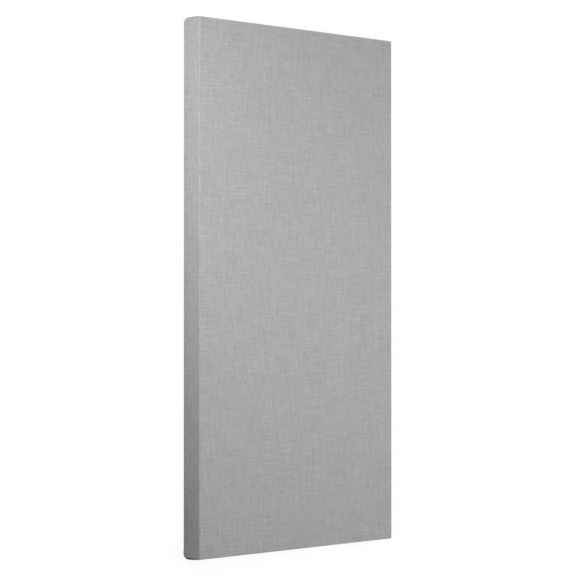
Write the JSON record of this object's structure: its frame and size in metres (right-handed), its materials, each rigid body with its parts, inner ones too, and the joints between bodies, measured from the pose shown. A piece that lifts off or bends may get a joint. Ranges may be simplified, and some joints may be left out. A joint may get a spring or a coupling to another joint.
{
  "type": "fabric acoustic wall panel",
  "caption": "Rectangular sound-absorbing wall panel: a rigid glass-wool board wrapped in light warm grey woven cloth, folded at the corners and hemmed on the back.",
  "frame": {"origin": "middle of the back, on the plane that the four folded corners rest on", "axes": "+Z out of the panel's face, +Y along its length towards the end shown as the top, +X across it, to the right as the face is seen"},
  "size_m": [0.6096, 1.2228, 0.059],
  "materials": {
    "woven_cloth": "matte plain weave, light warm grey with fine slubs",
    "glass_wool": "matte, fibrous, resin-bonded, straw yellow"
  },
  "bodies": {
    "root": {"core_board": "glass_wool", "fabric_wrap": "woven_cloth"}
  },
  "joints": []
}
